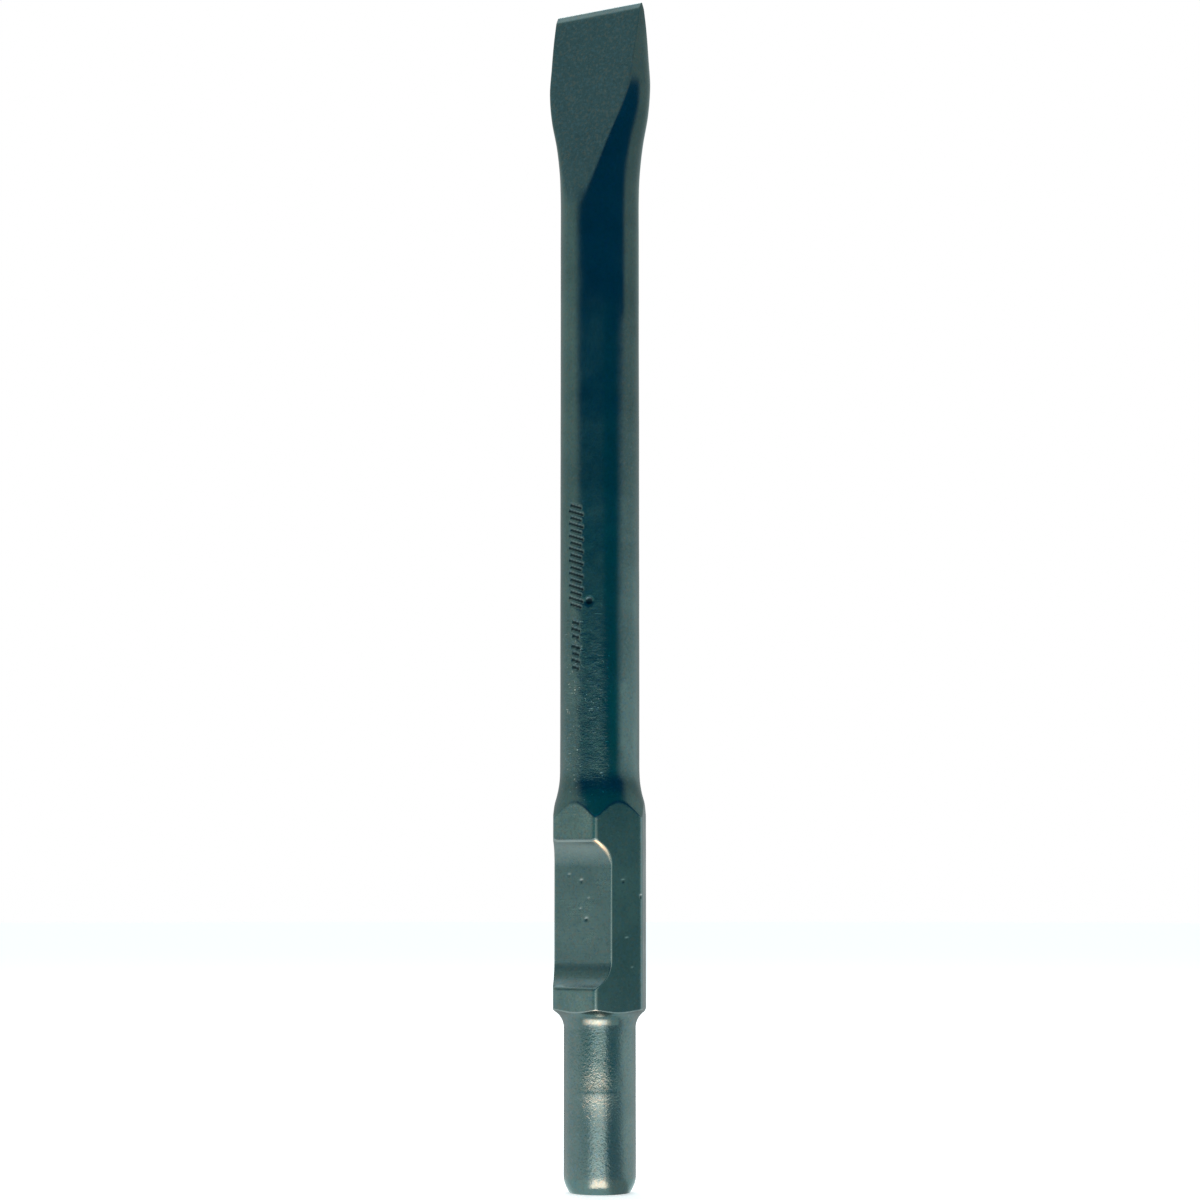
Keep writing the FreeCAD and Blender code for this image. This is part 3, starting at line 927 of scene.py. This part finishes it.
def skyline(n, turn, rise, upper, sides, studio):
    """The brighter strip level with the table, which turns into the upper room."""
    front = n.remap(turn, *FRONT_SKYLINE_TURN)
    left = n.mix(front, opaque(studio.left_skyline), opaque(studio.front_skyline))
    left = n.mix(n.remap(turn, *LEFT_SIDE_TURN), left, sides)
    left = n.mix(n.remap(rise, *LEFT_UPPER_RISE), left, upper)
    right = n.mix(n.remap(turn, *RIGHT_SIDE_TURN), opaque(studio.low_end), sides)
    right = n.mix(n.remap(rise, *RIGHT_UPPER_RISE), right, upper)
    return n.mix(n.remap(turn, *RIGHT_LEVEL_TURN), left, right)


def studio_world(studio):
    """White for the camera; for the steel, a dim end of the room between pale side panels."""
    world = bpy.data.worlds.new("studio_room")
    bpy.context.scene.world = world
    world.use_nodes = True
    n = Nodes(world.node_tree)
    turn, rise = room_directions(n, studio.azimuth)
    far = n.plus(n.remap(turn, *FAR_RIGHT), n.remap(turn, *FAR_LEFT))
    sides = n.mix(far, opaque(studio.side_skyline), opaque(studio.back_panel))
    above = skyline(n, turn, rise, upper_room(n, turn, rise, far, studio), sides, studio)
    in_front = n.times(n.remap(turn, *BENEATH_LEFT), n.remap(turn, *BENEATH_RIGHT))
    beneath = n.mix(in_front, sides, opaque(studio.dim_end))
    room = n.mix(n.remap(rise, *BENEATH_RISE), above, beneath)
    seen = n.add("LightPath").outputs["Is Camera Ray"]
    background = n.add("Background", Color=n.mix(seen, room, (1.0, 1.0, 1.0, 1.0)), Strength=1.0)
    output = n.add("OutputWorld")
    n.tree.links.new(background.outputs["Background"], output.inputs["Surface"])


# Windows of turn, in degrees: (left outside, left inside, right inside, right outside).
STREAK_WINDOW = (-38.0, -15.0, 5.0, 27.0)
FOOT_WINDOW = (-28.0, -12.0, 7.0, 22.0)
ROOT_WINDOW = (-62.0, -14.0, -2.0, 36.0)

# Distances from the axis, in metres, between which the lit table changes: (outside, inside).
FAR_TABLE = (0.35, 0.95)
FOOT = (0.040, 0.026)
UNDER_FOOT = (0.0142, 0.0132)
TABLE_REACHES = (0.006, *reversed(UNDER_FOOT), FOOT[1], 0.033, FOOT[0], 0.24, 0.30, 0.36, 0.55, 0.75, 1.0)

# The card that lights the root hollow: its distances from the axis, where its warm part starts and
# ends, its height at the spigot's skin and its fall towards the camera.
ROOT_REACHES = (0.016, 0.024, 0.030, 0.050, 0.080)
ROOT_WARM_FROM = 0.027
ROOT_WARM_TO = (0.050, 0.080)
ROOT_CARD_HEIGHT = 0.0335
ROOT_CARD_FALL = math.radians(3.9)

# The upright cards that face the hexagon's right flat and the flare: distances and heights in metres,
# turns and their limits in degrees.
FLAT_CARD_REACH = 0.16
FLAT_CARD_HEIGHTS = (0.052, 0.060, 0.124, 0.132)
FLAT_CORNER = (32.0, 20.0)
FLARE_CARD_REACH = 0.060
FLARE_CARD_HEIGHTS = [0.300 + 0.008 * step for step in range(17)]
FLARE_PALE_FROM = 69.0
FLARE_PALE_SPREAD = 130.0
FLARE_PALE_RISE = (0.378, 0.400)
FLARE_PALE_EDGE = 7.0

# The soft light, in metres, the floor's outline and the camera's sensor in millimetres.
SOFT_BOX_WIDTH = 1.2
SOFT_BOX_BEHIND = 0.9
SOFT_BOX_HEIGHT = 1.6
FLOOR_SEGMENTS = 96
SENSOR_WIDTH = 36.0


def window(limits, turn):
    """1 between the inner limits, 0 beyond the outer ones."""
    left_out, left_in, right_in, right_out = limits
    return float(smooth_step(left_out, left_in, turn) * smooth_step(right_out, right_in, turn))


def blend(first, second, share):
    """A colour between two others."""
    return np.array(first) * (1.0 - share) + np.array(second) * share


def ground_colour(turn, reach, studio):
    """Brightness of the lit table round the chisel, by turn from the camera and distance."""
    left = float(smooth_step(-60.0, -85.0, turn))
    right = float(smooth_step(62.0, 88.0, turn))
    dim = float(smooth_step(8.0, 30.0, turn)) * (1.0 - right)
    behind = float(smooth_step(115.0, 170.0, abs(turn)))
    table = np.array(studio.left_ground) * (1.0 - left - dim - right)
    table = table + np.array(studio.side_ground) * (left + right) + np.array(studio.right_ground) * dim
    table = blend(table, studio.back_panel, behind)
    glow = blend(studio.streak_glow, studio.far_glow, float(smooth_step(*FAR_TABLE, reach)))
    table = blend(table, glow, window(STREAK_WINDOW, turn))

    warm = 0.7 * window(FOOT_WINDOW, turn) * (1.0 - float(smooth_step(*UNDER_FOOT, reach)))
    foot = blend(np.array(studio.foot_shade) * (1.0 - 0.5 * dim), studio.foot_glow, warm)
    return blend(table, foot, float(smooth_step(*FOOT, reach)))


def glow_ring(name, rings, turns, colour_at, studio, closed=False):
    """A ring that only the steel reflects. Each of its rings is a (distance, height) pair."""
    points, colours, faces = [], [], []
    for reach, height in rings:
        for turn in turns:
            angle = math.radians(turn) + studio.azimuth - 0.5 * math.pi
            points.append((reach * math.cos(angle), reach * math.sin(angle), LOW.z + height))
            colours.append(opaque(colour_at(turn, reach, height)))
    count = len(turns)
    for ring in range(len(rings) - 1):
        for place in range(count if closed else count - 1):
            following = (place + 1) % count
            faces.append((ring * count + place, (ring + 1) * count + place,
                          (ring + 1) * count + following, ring * count + following))
    mesh = bpy.data.meshes.new(name)
    mesh.from_pydata(points, [], faces)
    glow = mesh.attributes.new("glow", "FLOAT_COLOR", "POINT")
    glow.data.foreach_set("color", np.array(colours, dtype=np.float32).ravel())
    mesh.materials.append(glow_material(name))
    card = bpy.data.objects.new(name, mesh)
    card.visible_camera = False
    card.visible_diffuse = False
    card.visible_shadow = False
    bpy.context.scene.collection.objects.link(card)


def glow_material(name):
    """Light given off in the colours that the mesh carries."""
    material = bpy.data.materials.new(name)
    material.use_nodes = True
    n = Nodes(material.node_tree)
    emission = n.add("Emission", Color=n.add("Attribute", {"attribute_name": "glow"}).outputs["Color"])
    output = n.add("OutputMaterial")
    n.tree.links.new(emission.outputs["Emission"], output.inputs["Surface"])
    return material


def lit_ground(studio):
    """What the steel reflects of the lit table round its foot."""
    rings = [(reach, -0.2 * MM) for reach in TABLE_REACHES]
    glow_ring("lit_ground", rings, np.arange(-180.0, 180.0, 4.0),
              lambda turn, reach, height: ground_colour(turn, reach, studio), studio, closed=True)


def root_card(studio):
    """A warm card in front of the spigot, edge on to the camera: it lights the root hollow."""
    fall = math.tan(ROOT_CARD_FALL)
    rings = [(reach, ROOT_CARD_HEIGHT - (reach - 0.012) * fall) for reach in ROOT_REACHES]

    def colour_at(turn, reach, height):
        warm = window(ROOT_WINDOW, turn) * float(reach > ROOT_WARM_FROM)
        warm = warm * (1.0 - 0.8 * float(smooth_step(*ROOT_WARM_TO, reach)))
        return np.array(studio.foot_shade) * (1.0 - warm) * 0.8 + np.array(studio.foot_glow) * warm

    glow_ring("root_card", rings, np.arange(-60.0, 61.0, 4.0), colour_at, studio)


def flat_card(studio):
    """An upright card that faces the hexagon's right flat and corner and gives them an even tone."""
    rings = [(FLAT_CARD_REACH, height) for height in FLAT_CARD_HEIGHTS]
    corner_tone = np.array(studio.left_skyline) * 0.8

    def colour_at(turn, reach, height):
        return blend(studio.flat_card, corner_tone, float(smooth_step(*FLAT_CORNER, turn)))

    glow_ring("flat_card", rings, np.arange(-12.0, 67.0, 3.0), colour_at, studio)


def flare_card(studio):
    """An upright card round the right of the flare: dim in front and pale at its side and top."""
    rings = [(FLARE_CARD_REACH, height) for height in FLARE_CARD_HEIGHTS]

    def colour_at(turn, reach, height):
        limit = FLARE_PALE_FROM - FLARE_PALE_SPREAD * float(smooth_step(*FLARE_PALE_RISE, height))
        pale = float(smooth_step(limit - FLARE_PALE_EDGE, limit + FLARE_PALE_EDGE, turn))
        return blend(studio.dim_end, studio.right_panel, pale)

    glow_ring("flare_card", rings, np.arange(-48.0, 177.0, 4.0), colour_at, studio)


def pale_floor(studio):
    """A plain round floor just under the striking face."""
    angles = [2 * math.pi * step / FLOOR_SEGMENTS for step in range(FLOOR_SEGMENTS)]
    ring = [(studio.floor_radius * math.cos(angle), studio.floor_radius * math.sin(angle),
             LOW.z - 0.1 * MM) for angle in angles]
    mesh = bpy.data.meshes.new("pale_floor")
    mesh.from_pydata(ring, [], [list(range(FLOOR_SEGMENTS))])
    material = bpy.data.materials.new("pale_floor_paint")
    material.use_nodes = True
    surface = material.node_tree.nodes["Principled BSDF"]
    surface.inputs["Base Color"].default_value = (0.92, 0.92, 0.92, 1.0)
    surface.inputs["Roughness"].default_value = 0.9
    surface.inputs["Specular IOR Level"].default_value = 0.1
    surface.inputs["Emission Color"].default_value = (1.0, 1.0, 1.0, 1.0)
    surface.inputs["Emission Strength"].default_value = studio.floor_glow
    mesh.materials.append(material)
    floor = bpy.data.objects.new("pale_floor", mesh)
    floor.visible_glossy = False
    bpy.context.scene.collection.objects.link(floor)


def soft_box(studio):
    """A large soft light high behind the chisel, which lays a faint shadow at its foot."""
    light = bpy.data.lights.new("soft_box", "AREA")
    light.shape = "DISK"
    light.size = SOFT_BOX_WIDTH
    light.energy = studio.soft_box_power
    holder = bpy.data.objects.new("soft_box", light)
    back = Vector((-math.sin(studio.azimuth), math.cos(studio.azimuth), 0.0))
    holder.location = back * SOFT_BOX_BEHIND + Vector((0.0, 0.0, SOFT_BOX_HEIGHT))
    holder.rotation_euler = (-math.atan2(SOFT_BOX_BEHIND, SOFT_BOX_HEIGHT), 0.0, studio.azimuth)
    bpy.context.scene.collection.objects.link(holder)


def studio_camera(studio):
    """Camera level with the shank, tilted slightly up."""
    camera = bpy.data.cameras.new("camera")
    camera.lens = studio.focal_length
    camera.sensor_width = SENSOR_WIDTH
    camera.clip_start, camera.clip_end = 0.01, 50.0
    holder = bpy.data.objects.new("camera", camera)
    front = Vector((math.sin(studio.azimuth), -math.cos(studio.azimuth), 0.0))
    right = Vector((math.cos(studio.azimuth), math.sin(studio.azimuth), 0.0))
    holder.location = front * studio.distance + right * studio.side_step + Vector((0, 0, studio.height))
    holder.rotation_euler = (0.5 * math.pi + studio.tilt, 0.0, studio.azimuth)
    bpy.context.scene.collection.objects.link(holder)
    bpy.context.scene.camera = holder


class CHISEL_OT_studio(bpy.types.Operator):
    """Make the room, the pale floor, the cards, the soft light and the camera"""

    bl_idname = "chisel.studio"
    bl_label = "Build Studio"

    def execute(self, context):
        studio = context.scene.studio_setup
        context.scene.view_settings.view_transform = "Standard"
        for make in (studio_world, pale_floor, lit_ground, root_card, flat_card, flare_card, soft_box,
                     studio_camera):
            make(studio)
        return {"FINISHED"}


class CHISEL_PT_sidebar(bpy.types.Panel):
    """Sizes, steel and studio of the chisel"""

    bl_idname = "CHISEL_PT_sidebar"
    bl_label = "Flat Chisel"
    bl_space_type = "VIEW_3D"
    bl_region_type = "UI"
    bl_category = "Chisel"

    def draw(self, context):
        scene = context.scene
        for title, group in (("Sizes", scene.chisel_sizes), ("Steel", scene.steel_look),
                             ("Studio", scene.studio_setup)):
            box = self.layout.box()
            box.label(text=title)
            for name in type(group).__annotations__:
                box.prop(group, name)
        self.layout.operator(CHISEL_OT_forging.bl_idname)
        self.layout.operator(CHISEL_OT_studio.bl_idname)


CLASSES = (ChiselSizes, SteelLook, StudioSetup, CHISEL_OT_forging, CHISEL_OT_studio, CHISEL_PT_sidebar)


def register():
    for cls in CLASSES:
        bpy.utils.register_class(cls)
    bpy.types.Scene.chisel_sizes = PointerProperty(type=ChiselSizes)
    bpy.types.Scene.steel_look = PointerProperty(type=SteelLook)
    bpy.types.Scene.studio_setup = PointerProperty(type=StudioSetup)


def unregister():
    del bpy.types.Scene.studio_setup
    del bpy.types.Scene.steel_look
    del bpy.types.Scene.chisel_sizes
    for cls in reversed(CLASSES):
        bpy.utils.unregister_class(cls)


def main():
    register()
    bpy.ops.chisel.studio()
    bpy.ops.chisel.forging()


if __name__ == "__main__":
    main()
